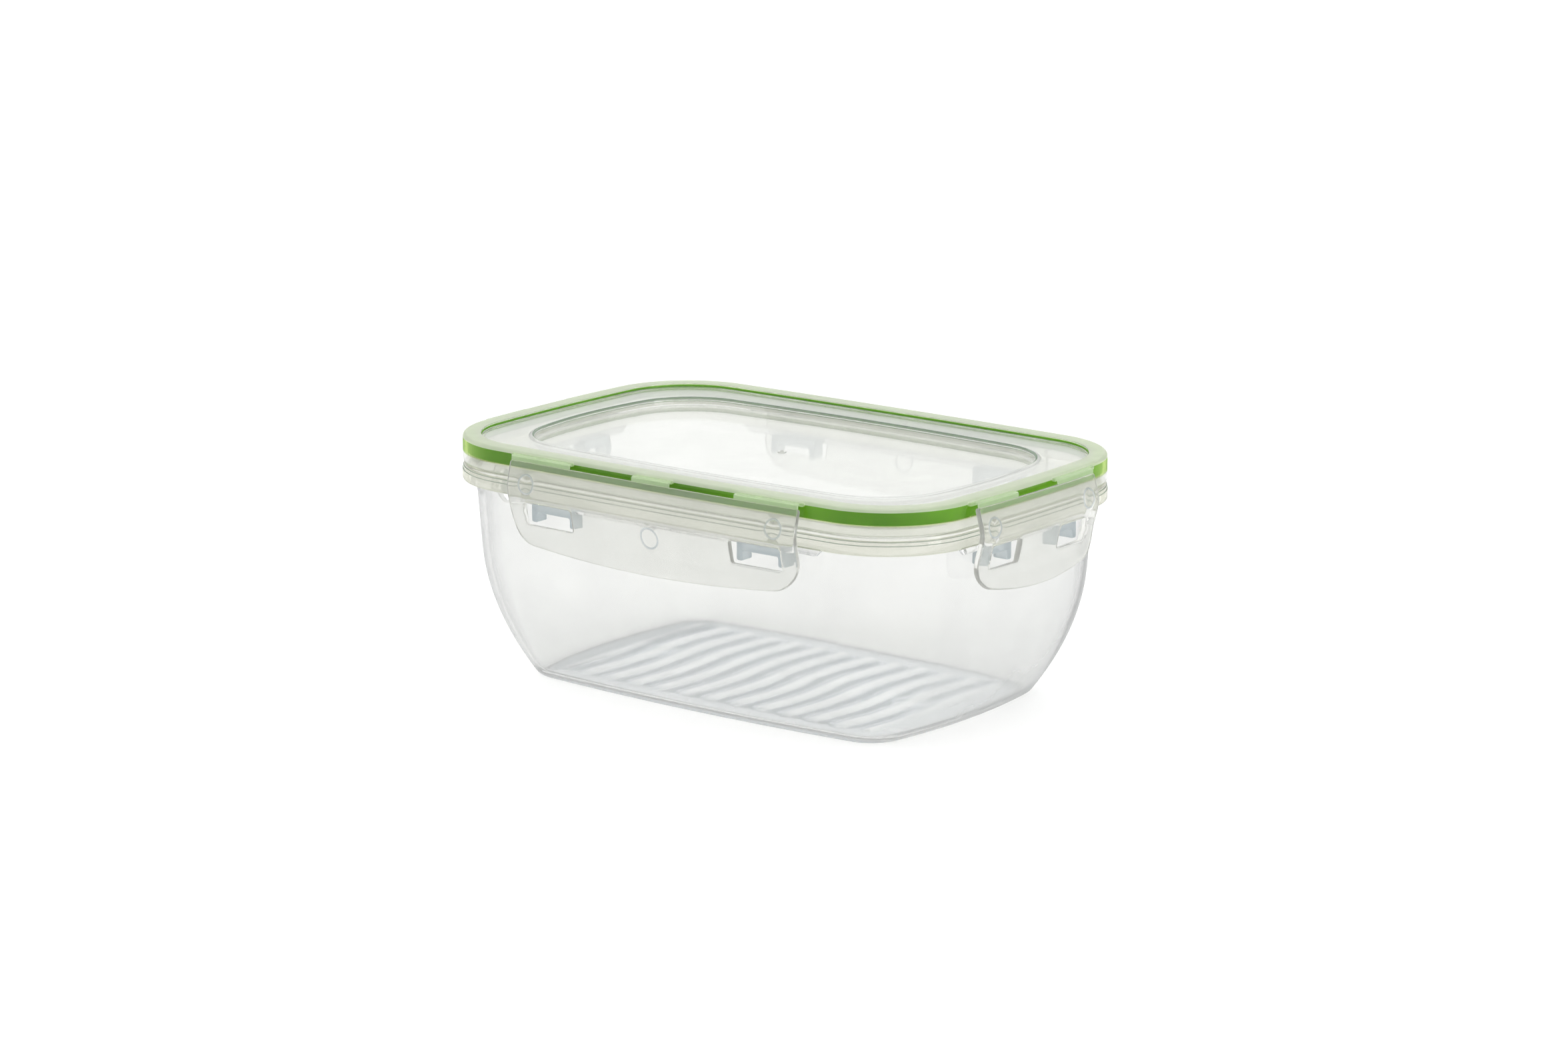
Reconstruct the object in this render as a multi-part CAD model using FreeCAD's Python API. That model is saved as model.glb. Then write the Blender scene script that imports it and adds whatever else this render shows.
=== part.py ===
import FreeCAD, Part
import math
import os

from FreeCAD import Vector

# Snap lid food container, closed, standing on its base. Millimetres.
# Origin: centre of the footprint, on the surface that the container stands on.
# +X runs along the long side, -Y is the front long side, +Z is up.
#
# Every horizontal outline is a rectangle with rounded corners and slightly bowed sides.
# "Inset" is a distance inward from the lid's outer outline, "out" a distance outward.

# ---- lid outline, which everything else follows ----
LID_LENGTH = 200.0          # without the bow of the short sides
LID_WIDTH = 131.0           # without the bow of the long sides
LID_CORNER = 31.8
LONG_BOW = 0.9              # how far a long side bows out at its middle
SHORT_BOW = 0.85

# ---- heights ----
LID_TOP = 82.2
DECK_TOP = 80.9             # surface inside the raised rim
PANEL_TOP = 78.3            # recessed middle of the lid
SKIRT_BOTTOM = 73.4
PLUG_BOTTOM = 74.6
GASKET_BOTTOM = 76.5
TUB_TOP = 76.4
FLANGE_TOP = 72.9
FLANGE_BOTTOM = 67.0

# ---- lid wall sections ----
SKIRT_WALL = 1.4
RIM_WIDTH = 6.3
RIM_PLATE = 0.8
PLUG_WALL = 1.3
DECK_PLATE = 1.3
EDGE_ROUND = 1.2            # outer top edge of the lid
PANEL_LENGTH = 163.8
PANEL_WIDTH = 92.7
PANEL_CORNER = 25.0
PANEL_LONG_BOW = 1.7
PANEL_SHORT_BOW = 1.5
GATE_RADIUS = 1.5
GATE_HEIGHT = 0.3
GAP = 0.05                  # assembly gap round the gasket

# ---- tub wall ----
WALL = 1.3
FLOOR_TOP = 1.6
FOOT_HEIGHT = 0.4           # the floor is raised inside a foot ring
FOOT_RING = 2.5
WALL_INSET = 4.4            # outer wall inset at REFERENCE_HEIGHT
REFERENCE_HEIGHT = 70.0
DRAFT = 0.075               # inset per mm of height, whole wall
BOWL_INSET = 16.0           # further inset of the bowl-shaped lower wall
BOWL_HEIGHT = 44.0
FLARE_HEIGHT = 62.0         # above this the wall leans out to meet the rim
FLARE_TOP = 72.0
RIM_OUTER = 2.3             # insets of the tub's rim
RIM_INNER = 4.1
LONG_SIDE_INSET = 4.0       # the long sides draw in less than the short ones
LONG_SIDE_SHARE = 0.77
WALL_CORNER_TOP = 27.5
WALL_CORNER_BASE = 11.4
BASE_BOW = 2.8
WALL_LEVELS = (0.0, FLOOR_TOP, 3.0, 5.0, 8.5, 13.0, 19.0, 27.0, 35.0, 44.0, 53.0, 62.0)

# ---- floor ribs, which run from front to back ----
RIB_COUNT = 13
RIB_PITCH = 10.6
RIB_WIDTH = 5.0
RIB_HEIGHT = 1.0
RIB_MARGIN = 10.5           # plain floor between the ribs' ends and the wall

# ---- tub flange, three stepped rings ----
FLANGE_STEPS = ((72.9, 71.6, 0.3), (71.6, 70.4, 0.05), (70.4, 67.0, -0.2))   # top, bottom, inset
FLANGE_WALL = 1.4
FLANGE_INNER = 5.2          # the top ring reaches in to the wall
APRON_INSET = 0.5
APRON_WALL = 1.4
APRON_BOTTOM = 64.8
APRON_CHAMFER = 2.2

# ---- hooks under the flange, two behind each clip ----
HOOK_TOP = 66.0
HOOK_BOTTOM = 59.5
HOOK_BAR = 2.2
HOOK_LEG = 2.0
HOOK_OUT = 0.2              # reach beyond the lid's outline
HOOK_MARGIN = 0.6           # side clearance in the clip's slot

# ---- clips ----
CLIP_TOP = 79.9
CLIP_BOTTOM = 50.0
CLIP_WALL = 1.9
LONG_CLIP_CORNER = 11.0
SHORT_CLIP_CORNER = 8.5
CLIP_BOTTOM_RISE = 2.3      # the bottom edge rises this much to its corners
SLOT_BOTTOM = 58.8
SLOT_TOP = 66.3
SLOT_CORNER = 0.8
# Outer face of the clip, as (out, height) corners with the radius of each bend between them.
# The clip hangs just clear of the hooks.
CLIP_BENDS = ((2.34, 80.9), (5.1, 71.0), (1.53, 58.4), (4.5, 48.5))
CLIP_BEND_RADII = (12.0, 18.0)

# ---- living hinges ----
LEDGE_TOP = 81.5
LEDGE_BOTTOM = 80.5
LEDGE_OUT = 1.2
FILM_OUT = 2.3
FILM = 0.4                  # hinge film thickness
FILM_TOP = 81.4


def bow_radius(chord, bow):
    """Radius of the arc that bows out by `bow` over `chord`."""
    return chord * chord / (8.0 * bow) + bow / 2.0


class Outline:
    """Rounded rectangle with bowed sides; all its arcs meet tangentially."""

    def __init__(self, length, width, corner, long_bow, short_bow):
        self.half_length = length / 2.0 + short_bow
        self.half_width = width / 2.0 + long_bow
        self.corner = corner
        self.long_radius = bow_radius(length - 2.0 * corner, long_bow)
        self.short_radius = bow_radius(width - 2.0 * corner, short_bow)
        self.long_centre = self.half_width - self.long_radius
        self.short_centre = self.half_length - self.short_radius
        self.corner_x, self.corner_y = self._corner_centre()

    def _corner_centre(self):
        """Centre of the +X +Y corner circle, which touches both side arcs from inside."""
        reach_long = self.long_radius - self.corner
        reach_short = self.short_radius - self.corner
        dx, dy = self.short_centre, -self.long_centre
        apart = math.hypot(dx, dy)
        along = (reach_long ** 2 - reach_short ** 2 + apart ** 2) / (2.0 * apart)
        aside = math.sqrt(reach_long ** 2 - along ** 2)
        x = (along * dx + aside * (-dy)) / apart
        y = self.long_centre + (along * dy + aside * dx) / apart
        if x < 0.0 or y < 0.0:
            x = (along * dx - aside * (-dy)) / apart
            y = self.long_centre + (along * dy - aside * dx) / apart
        return x, y

    def wire(self, z, inset=0.0):
        """The closed outline at height z, moved inward by `inset`."""
        corner_r = self.corner - inset
        to_long = math.atan2(self.corner_y - self.long_centre, self.corner_x)
        to_short = math.atan2(self.corner_y, self.corner_x - self.short_centre)
        corner = [(self.corner_x + corner_r * math.cos(angle), self.corner_y + corner_r * math.sin(angle))
                  for angle in (to_short, (to_short + to_long) / 2.0, to_long)]
        quarters = []
        for x_sign, y_sign in ((1, 1), (-1, 1), (-1, -1), (1, -1)):
            points = [Vector(x * x_sign, y * y_sign, z) for x, y in corner]
            quarters.append(points if x_sign == y_sign else points[::-1])
        side_x = self.half_length - inset
        side_y = self.half_width - inset
        middles = (Vector(0, side_y, z), Vector(-side_x, 0, z), Vector(0, -side_y, z), Vector(side_x, 0, z))
        edges = []
        for number, quarter in enumerate(quarters):
            following = quarters[(number + 1) % 4]
            edges.append(Part.Arc(*quarter).toShape())
            edges.append(Part.Arc(quarter[-1], middles[number], following[0]).toShape())
        return Part.Wire(edges)

    def prism(self, bottom, top, inset=0.0):
        return Part.Face(self.wire(bottom, inset)).extrude(Vector(0, 0, top - bottom))

    def ring(self, bottom, top, outer_inset, inner_inset):
        return self.prism(bottom, top, outer_inset).cut(self.prism(bottom, top, inner_inset))


LID_OUTLINE = Outline(LID_LENGTH, LID_WIDTH, LID_CORNER, LONG_BOW, SHORT_BOW)
PANEL_OUTLINE = Outline(PANEL_LENGTH, PANEL_WIDTH, PANEL_CORNER, PANEL_LONG_BOW, PANEL_SHORT_BOW)


class Side:
    """One side of the container, built facing -Y and then turned into place."""

    def __init__(self, name, turn, half_depth, bow_r, clip_half, clip_corner, strips, slots):
        self.name = name
        self.turn = turn                # degrees about +Z
        self.half_depth = half_depth    # from the centre to the lid's outline
        self.bow_r = bow_r
        self.clip_half = clip_half
        self.clip_corner = clip_corner
        self.strips = strips            # (from, to) of each hinge strip along the side
        self.slots = slots              # (from, to) of each slot along the side

    def centre(self):
        return Vector(0, self.bow_r - self.half_depth, 0)

    def place(self, shape):
        shape.rotate(Vector(0, 0, 0), Vector(0, 0, 1), self.turn)
        return shape

    def sweep(self, face, start, end):
        """Sweep a face drawn in the plane x = 0 along the bowed side, from start to end."""
        first = math.degrees(start / self.bow_r)
        face = face.copy()
        face.rotate(self.centre(), Vector(0, 0, 1), first)
        return face.revolve(self.centre(), Vector(0, 0, 1), math.degrees((end - start) / self.bow_r))

    def section(self, corners):
        """Face in the plane x = 0 from (out, height) corners."""
        points = [Vector(0, -self.half_depth - out, z) for out, z in corners]
        return Part.Face(Part.makePolygon(points + points[:1]))


def mirrored(pairs):
    return [(-b, -a) for a, b in pairs] + list(pairs)


LONG_STRIPS = mirrored([(33.8, 60.0)]) + [(-7.8, 7.8)]
SHORT_STRIPS = mirrored([(10.8, 34.0)])
LONG_SLOTS = mirrored([(32.8, 52.8)])
SHORT_SLOTS = mirrored([(11.0, 25.6)])
LONG_CLIP_HALF = 59.3
SHORT_CLIP_HALF = 32.0
LONG_APRON_HALF = 66.0
SHORT_APRON_HALF = 37.0


def long_side(name, turn):
    return Side(name, turn, LID_OUTLINE.half_width, LID_OUTLINE.long_radius,
                LONG_CLIP_HALF, LONG_CLIP_CORNER, LONG_STRIPS, LONG_SLOTS)


def short_side(name, turn):
    return Side(name, turn, LID_OUTLINE.half_length, LID_OUTLINE.short_radius,
                SHORT_CLIP_HALF, SHORT_CLIP_CORNER, SHORT_STRIPS, SHORT_SLOTS)


SIDES = (long_side("front", 0), short_side("right", 90), long_side("back", 180), short_side("left", -90))


# ---- tub ----

def wall_inset(z):
    """Inset of the tub's outer wall on the short sides."""
    inset = WALL_INSET + DRAFT * (REFERENCE_HEIGHT - z)
    if z < BOWL_HEIGHT:
        inset += BOWL_INSET * (1.0 - z / BOWL_HEIGHT) ** 2
    return inset


def wall_slope(z):
    slope = DRAFT
    if z < BOWL_HEIGHT:
        slope += 2.0 * BOWL_INSET / BOWL_HEIGHT * (1.0 - z / BOWL_HEIGHT)
    return slope


def wall_outline(z, thickness):
    """Outline of the tub's wall at height z; thickness 0 gives the outer face."""
    inset = wall_inset(z)
    across = LONG_SIDE_INSET + LONG_SIDE_SHARE * (inset - WALL_INSET)
    drawn_in = (inset - WALL_INSET) / (wall_inset(0.0) - WALL_INSET)
    corner = WALL_CORNER_TOP + (WALL_CORNER_BASE - WALL_CORNER_TOP) * drawn_in
    thick = thickness * math.sqrt(1.0 + wall_slope(z) ** 2)
    long_bow = LONG_BOW + (BASE_BOW - LONG_BOW) * drawn_in
    short_bow = SHORT_BOW + (BASE_BOW - SHORT_BOW) * drawn_in
    return Outline(LID_LENGTH - 2.0 * (inset + thick), LID_WIDTH - 2.0 * (across + thick),
                   corner - thick * drawn_in, long_bow, short_bow).wire(z)


def tub_body():
    outer = [wall_outline(z, 0.0) for z in WALL_LEVELS]
    outer.append(LID_OUTLINE.wire(FLARE_TOP, RIM_OUTER))
    body = Part.makeLoft(outer, True, False)
    return body.fuse(LID_OUTLINE.prism(FLARE_TOP, TUB_TOP, RIM_OUTER))


def tub_hollow():
    inner = [wall_outline(z, WALL) for z in WALL_LEVELS if z >= FLOOR_TOP]
    inner.append(LID_OUTLINE.wire(FLARE_TOP, RIM_INNER))
    hollow = Part.makeLoft(inner, True, False)
    return hollow.fuse(LID_OUTLINE.prism(FLARE_TOP, TUB_TOP + 1.0, RIM_INNER))


def tub_foot_recess():
    base = Outline(LID_LENGTH - 2.0 * (wall_inset(0.0) + FOOT_RING),
                   LID_WIDTH - 2.0 * (LONG_SIDE_INSET + LONG_SIDE_SHARE * (wall_inset(0.0) - WALL_INSET)
                                      + FOOT_RING),
                   WALL_CORNER_BASE - FOOT_RING, BASE_BOW, BASE_BOW)
    return base.prism(-1.0, FOOT_HEIGHT)


def floor_ribs():
    """Low rounded ribs side by side across the floor."""
    root = 0.4
    field = wall_outline(FLOOR_TOP, WALL + RIB_MARGIN)
    field.translate(Vector(0, 0, -root))
    room = Part.Face(field).extrude(Vector(0, 0, root + 2.0 * RIB_HEIGHT))
    radius = (RIB_WIDTH ** 2 / 4.0 + RIB_HEIGHT ** 2) / (2.0 * RIB_HEIGHT)
    ribs = []
    for number in range(RIB_COUNT):
        x = (number - (RIB_COUNT - 1) / 2.0) * RIB_PITCH
        start = Vector(x, -LID_WIDTH / 2.0, FLOOR_TOP + RIB_HEIGHT - radius)
        ribs.append(Part.makeCylinder(radius, LID_WIDTH, start, Vector(0, 1, 0)).common(room))
    return ribs


def flange():
    rings = []
    for number, (top, bottom, inset) in enumerate(FLANGE_STEPS):
        inner = FLANGE_INNER if number == 0 else FLANGE_STEPS[-1][2] + FLANGE_WALL + 0.4
        rings.append(LID_OUTLINE.ring(bottom, top, inset, inner))
    return rings


def apron(side, half):
    """Plate below the flange with slanting ends, which carries the hooks."""
    plate = LID_OUTLINE.ring(APRON_BOTTOM, FLANGE_BOTTOM + 0.6, APRON_INSET, APRON_INSET + APRON_WALL)
    low_half = half - APRON_CHAMFER
    ends = [(-half, FLANGE_BOTTOM + 0.6), (half, FLANGE_BOTTOM + 0.6), (half, FLANGE_BOTTOM),
            (low_half, APRON_BOTTOM), (-low_half, APRON_BOTTOM), (-half, FLANGE_BOTTOM)]
    points = [Vector(x, -side.half_depth - 5.0, z) for x, z in ends]
    window = Part.Face(Part.makePolygon(points + points[:1])).extrude(Vector(0, side.half_depth / 2.0, 0))
    window = side.place(window)
    return plate.common(window)


def hook(side, start, end):
    """Three-sided hook, open at the bottom, whose legs catch the lower edge of a clip's slot."""
    deep = -9.0
    face = side.section([(deep, HOOK_BOTTOM), (HOOK_OUT, HOOK_BOTTOM),
                         (HOOK_OUT, HOOK_TOP), (deep, HOOK_TOP)])
    block = side.sweep(face, start + HOOK_MARGIN, end - HOOK_MARGIN)
    face = side.section([(deep - 1.0, HOOK_BOTTOM - 1.0), (HOOK_OUT + 1.0, HOOK_BOTTOM - 1.0),
                         (HOOK_OUT + 1.0, HOOK_TOP - HOOK_BAR), (deep - 1.0, HOOK_TOP - HOOK_BAR)])
    pocket = side.sweep(face, start + HOOK_MARGIN + HOOK_LEG, end - HOOK_MARGIN - HOOK_LEG)
    return side.place(block.cut(pocket))


def make_tub():
    pieces = flange()
    for side in SIDES:
        pieces.append(apron(side, LONG_APRON_HALF if side.name in ("front", "back") else SHORT_APRON_HALF))
        pieces += [hook(side, start, end) for start, end in side.slots]
    shell = tub_body().fuse(pieces).cut(tub_hollow()).cut(tub_foot_recess())
    return shell.fuse(floor_ribs()).removeSplitter()


# ---- lid and gasket ----

def rounded_cap():
    """The lid's outer block, with its top edge rounded."""
    block = LID_OUTLINE.prism(SKIRT_BOTTOM, LID_TOP)
    top_edges = [edge for edge in block.Edges if edge.BoundBox.ZMin > LID_TOP - 0.01]
    return block.makeFillet(EDGE_ROUND, top_edges)


def make_lid():
    lid = rounded_cap()
    # space under the deck, then the gasket's channel between skirt and plug wall
    lid = lid.cut(LID_OUTLINE.prism(SKIRT_BOTTOM - 1.0, DECK_TOP - DECK_PLATE, RIM_WIDTH))
    lid = lid.cut(LID_OUTLINE.ring(SKIRT_BOTTOM - 1.0, LID_TOP - RIM_PLATE,
                                   SKIRT_WALL, RIM_WIDTH - PLUG_WALL))
    lid = lid.cut(LID_OUTLINE.ring(SKIRT_BOTTOM - 1.0, PLUG_BOTTOM, SKIRT_WALL, RIM_WIDTH + 1.0))
    # the deck inside the rim
    lid = lid.cut(LID_OUTLINE.prism(DECK_TOP, LID_TOP + 1.0, RIM_WIDTH))
    # the recessed panel
    pan = PANEL_OUTLINE.prism(PANEL_TOP - DECK_PLATE, DECK_TOP, -DECK_PLATE)
    lid = lid.fuse(pan)
    lid = lid.cut(PANEL_OUTLINE.prism(PANEL_TOP, DECK_TOP + 1.0))
    gate = Part.makeCylinder(GATE_RADIUS, GATE_HEIGHT + 0.2, Vector(0, 0, PANEL_TOP - 0.2))
    lid = lid.fuse(gate)
    ledges = []
    for side in SIDES:
        face = side.section([(-0.9, LEDGE_BOTTOM), (LEDGE_OUT, LEDGE_BOTTOM), (LEDGE_OUT, LEDGE_TOP),
                             (-0.9, LEDGE_TOP)])
        ledges += [side.place(side.sweep(face, start, end)) for start, end in side.strips]
    return lid.fuse(ledges).removeSplitter()


def make_gasket():
    """Soft ring that fills the channel; the tub's rim presses up against it."""
    ring = LID_OUTLINE.ring(GASKET_BOTTOM, LID_TOP - RIM_PLATE - GAP, SKIRT_WALL + GAP,
                            RIM_WIDTH - PLUG_WALL - GAP)
    low_edges = [edge for edge in ring.Edges if edge.BoundBox.ZMax < GASKET_BOTTOM + 0.01]
    return ring.makeFillet(0.5, low_edges)


# ---- clips and their hinges ----

def rounded_path(corners, radii, offset):
    """Edges, as point lists, of a path with rounded bends, moved to its right by `offset`."""
    ways = [(b - a).normalize() for a, b in zip(corners, corners[1:])]
    rights = [Vector(way.y, -way.x, 0) for way in ways]
    edges = []
    start = corners[0] + rights[0] * offset
    for number, radius in enumerate(radii):
        before, after = ways[number], ways[number + 1]
        bend = before.getAngle(after)
        to_left = before.cross(after).z > 0
        radius = radius + offset if to_left else radius - offset
        share = 1.0 + rights[number].dot(rights[number + 1])
        corner = corners[number + 1] + (rights[number] + rights[number + 1]) * (offset / share)
        reach = radius * math.tan(bend / 2.0)
        inward = (after - before).normalize()
        middle = corner + inward * (radius / math.cos(bend / 2.0) - radius)
        edges.append([start, corner - before * reach])
        start = corner + after * reach
        edges.append([edges[-1][1], middle, start])
    edges.append([start, corners[-1] + rights[-1] * offset])
    return edges


def clip_section(side):
    """S-shaped section of a clip: over the flange, in below it, out again at the finger lip."""
    corners = [Vector(out, z, 0) for out, z in CLIP_BENDS]
    outer = rounded_path(corners, CLIP_BEND_RADII, 0.0)
    inner = rounded_path(corners, CLIP_BEND_RADII, CLIP_WALL)
    outlines = outer + [[outer[-1][-1], inner[-1][-1]]]
    outlines += [edge[::-1] for edge in inner[::-1]] + [[inner[0][0], outer[0][0]]]
    edges = []
    for outline in outlines:
        points = [Vector(0, -side.half_depth - point.x, point.y) for point in outline]
        edges.append((Part.LineSegment if len(points) == 2 else Part.Arc)(*points).toShape())
    return Part.Face(Part.Wire(edges))


def clip_front(side):
    """Front view of a clip, as a thick block: round lower corners, convex bottom edge, slots."""
    half = side.clip_half
    corner_r = side.clip_corner
    corner_x = half - corner_r
    bottom_r = bow_radius(2.0 * corner_x, CLIP_BOTTOM_RISE)
    centre_z = CLIP_BOTTOM + bottom_r
    corner_z = centre_z - math.sqrt((bottom_r - corner_r) ** 2 - corner_x ** 2)
    foot = math.atan2(corner_z - centre_z, corner_x)
    middle = foot / 2.0
    y = -side.half_depth - 12.0
    top = CLIP_TOP

    def at(x, z):
        return Vector(x, y, z)

    def corner_point(angle, sign):
        return at(sign * (corner_x + corner_r * math.cos(angle)), corner_z + corner_r * math.sin(angle))

    edges = [
        Part.LineSegment(at(-half, top), at(-half, corner_z)).toShape(),
        Part.Arc(at(-half, corner_z), corner_point(middle, -1), corner_point(foot, -1)).toShape(),
        Part.Arc(corner_point(foot, -1), at(0, CLIP_BOTTOM), corner_point(foot, 1)).toShape(),
        Part.Arc(corner_point(foot, 1), corner_point(middle, 1), at(half, corner_z)).toShape(),
        Part.LineSegment(at(half, corner_z), at(half, top)).toShape(),
        Part.LineSegment(at(half, top), at(-half, top)).toShape(),
    ]
    front = Part.Face(Part.Wire(edges)).extrude(Vector(0, 20.0, 0))
    for start, end in side.slots:
        slot = Part.makeBox(end - start, 22.0, SLOT_TOP - SLOT_BOTTOM, Vector(start, y - 1.0, SLOT_BOTTOM))
        across = [edge for edge in slot.Edges if edge.BoundBox.YLength > 10.0]
        front = front.cut(slot.makeFillet(SLOT_CORNER, across))
    return front


def make_clip(side):
    sheet = side.sweep(clip_section(side), -side.clip_half - 2.0, side.clip_half + 2.0)
    return side.place(sheet.common(clip_front(side)))


def make_hinges(side):
    """Thin films that join the lid's ledges to the top edge of a clip."""
    corners = [(LEDGE_OUT, FILM_TOP - FILM), (FILM_OUT - FILM, FILM_TOP - FILM), (FILM_OUT - FILM, CLIP_TOP),
               (FILM_OUT, CLIP_TOP), (FILM_OUT, FILM_TOP), (LEDGE_OUT, FILM_TOP)]
    face = side.section(corners)
    films = [side.place(side.sweep(face, max(start, -side.clip_half), min(end, side.clip_half)))
             for start, end in side.strips]
    return Part.makeCompound(films)


def save(name, shape):
    os.makedirs("parts", exist_ok=True)
    shape.exportStep("parts/" + name + ".step")
    box = shape.BoundBox
    print("%-20s solids %d valid %s volume %.0f  x %.1f..%.1f  y %.1f..%.1f  z %.1f..%.1f" % (
        name, len(shape.Solids), shape.isValid(), shape.Volume,
        box.XMin, box.XMax, box.YMin, box.YMax, box.ZMin, box.ZMax))


save("tub", make_tub())
save("lid", make_lid())
save("gasket", make_gasket())
for container_side in SIDES:
    save(container_side.name + "_clip", make_clip(container_side))
    save(container_side.name + "_clip_hinges", make_hinges(container_side))
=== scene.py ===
import math

import bmesh
import bpy
from mathutils import Matrix, Vector
from mathutils.geometry import delaunay_2d_cdt


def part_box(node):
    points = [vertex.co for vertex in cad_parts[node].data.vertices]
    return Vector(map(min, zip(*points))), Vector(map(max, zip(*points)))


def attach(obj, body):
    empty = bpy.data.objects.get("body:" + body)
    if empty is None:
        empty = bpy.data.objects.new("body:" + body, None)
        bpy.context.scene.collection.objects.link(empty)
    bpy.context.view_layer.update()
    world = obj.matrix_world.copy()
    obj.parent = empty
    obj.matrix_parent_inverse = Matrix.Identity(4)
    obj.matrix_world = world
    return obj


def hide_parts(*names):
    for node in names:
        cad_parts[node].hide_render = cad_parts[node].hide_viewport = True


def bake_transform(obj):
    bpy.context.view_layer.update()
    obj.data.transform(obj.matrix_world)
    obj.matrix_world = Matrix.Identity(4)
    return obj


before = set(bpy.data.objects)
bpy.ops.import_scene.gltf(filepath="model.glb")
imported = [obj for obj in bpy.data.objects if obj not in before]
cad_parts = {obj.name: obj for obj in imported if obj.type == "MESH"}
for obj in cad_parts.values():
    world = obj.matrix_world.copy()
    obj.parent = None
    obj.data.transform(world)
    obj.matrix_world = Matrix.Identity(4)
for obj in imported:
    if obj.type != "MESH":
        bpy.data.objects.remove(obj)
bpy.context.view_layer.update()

MM = 0.001


def top(node):
    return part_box(node)[1].z / MM


def bottom(node):
    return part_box(node)[0].z / MM


# ---- dimensions, in millimetres, as in the CAD parts, apart from the hooks' thicker bar and legs ----
LID_LENGTH, LID_WIDTH, LID_CORNER = 200.0, 131.0, 31.8
LONG_BOW, SHORT_BOW = 0.9, 0.85
PANEL_LENGTH, PANEL_WIDTH, PANEL_CORNER = 163.8, 92.7, 25.0
PANEL_LONG_BOW, PANEL_SHORT_BOW = 1.7, 1.5

LID_TOP = top("lid")
SKIRT_BOTTOM = bottom("lid")
TUB_TOP = top("tub")
GASKET_TOP, GASKET_BOTTOM = top("gasket"), bottom("gasket")
CLIP_TOP, CLIP_BOTTOM = top("front_clip"), bottom("front_clip")
RIM_DEPTH = 1.3                 # the rim stands this much above the deck
PANEL_DEPTH = 2.6               # and the panel lies this much below the deck
SHEET = 1.3                     # thickness of the lid's plates and the tub's wall
SKIRT_WALL = 1.4
RIM_WIDTH = 6.3
RIM_PLATE = 0.8
PLUG_BOTTOM = 74.6
GASKET_CLEARANCE = 0.05

FLOOR_TOP, FOOT_HEIGHT, FOOT_RING, FOOT_ROUND = 1.6, 0.4, 2.5, 1.6
TURN_UP = 4.5                     # height at which the floor's curve meets the wall
BASE_HALF_WIDTH = 50.0
FOOT_EDGE_SHARE, RECESS_EDGE_SHARE = 0.975, 0.992    # of the base's and of the recess's outline
WALL_INSET, REFERENCE_HEIGHT, DRAFT = 4.4, 70.0, 0.075
BOWL_INSET, BOWL_HEIGHT = 16.0, 44.0
FLARE_HEIGHT, FLARE_TOP = 62.0, 71.6
RIM_OUTER, RIM_INNER = 2.3, 4.1
LONG_SIDE_INSET, LONG_SIDE_SHARE = 4.0, 0.77
WALL_CORNER_TOP, WALL_CORNER_BASE, BASE_BOW = 27.5, 11.4, 2.8
FLANGE_TOP, FLANGE_BOTTOM, FLANGE_CAVITY = 72.9, 67.0, 1.6
RIB_PITCH, RIB_HEIGHT = 10.6, 1.2
RIB_FIELD_LENGTH, RIB_FIELD_WIDTH = 131.0, 75.0
RIB_FADE = 2.5                    # length over which the ribs run out at the field's edge
SWAY, SWAY_LENGTH = 1.1, 9.0      # the ribs wander a little
# two oval marks on the floor, each with a low edge, and the ribs clear of them
MARK_X, MARK_RADIUS, MARK_STRETCH, MARK_HEIGHT = 53.0, 5.0, 1.2, 0.25
MARK_EDGE_HEIGHT, MARK_EDGE_WIDTH, MARK_CLEAR, MARK_FADE = 0.35, 0.8, 5.2, 2.0

APRON_TOP, APRON_BOTTOM, APRON_WALL, APRON_OUT, APRON_CHAMFER = 67.4, 64.8, 1.4, -0.5, 2.2
HOOK_TOP, HOOK_BOTTOM, HOOK_BAR, HOOK_LEG, HOOK_OUT, HOOK_MARGIN = 66.0, 59.5, 3.2, 2.4, 0.2, 0.6
LONG_HOOK_REACH, SHORT_HOOK_REACH = 5.0, 5.5

CLIP_WALL = 1.9
CLIP_BOTTOM_RISE = 2.3
SLOT_BOTTOM, SLOT_TOP, SLOT_CORNER = 58.8, 66.3, 0.9
CLIP_BENDS = ((2.34, 80.9), (5.1, 71.0), (1.53, 58.4), (4.5, 48.5))
CLIP_BEND_RADII = (12.0, 18.0)
CLIP_EDGE = 0.55
# the last of these is the half width of the painted shade laid along the round marks' grooves on the clips
GROOVE_DEPTH, GROOVE_HALF, MARK_GROOVE_SHADE_HALF = 0.25, 0.35, 0.3     # of the round marks' grooves

LEDGE_TOP, LEDGE_BOTTOM, LEDGE_OUT = 81.5, 80.5, 1.2
FILM_OUT, FILM, FILM_TOP = 2.3, 0.4, 81.4

# ---- mesh fineness ----
SHORT_STEPS, CORNER_STEPS, LONG_STEPS = 12, 28, 20      # per quarter of an outline
ROUND_STEPS = 5                                         # per rounded corner of the lid's section
FLOOR_RINGS = 43
WALL_STEP, FLARE_STEP = 2.2, 1.0
CLIP_GRID = (2.6, 1.0)
GRID_MARGIN = 0.45                # least distance of a grid point from an edge, in grid steps
# the faces of these two steps are painted as dark lines: painted shade
FLANGE_STEPS = ((18, 24), (26, 32))                     # rings of the two small steps in the flange's side


# ======================= outlines =======================

def bow_radius(chord, bow):
    return chord * chord / (8.0 * bow) + bow / 2.0


def between(a, b, share):
    return a + (b - a) * share


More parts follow.
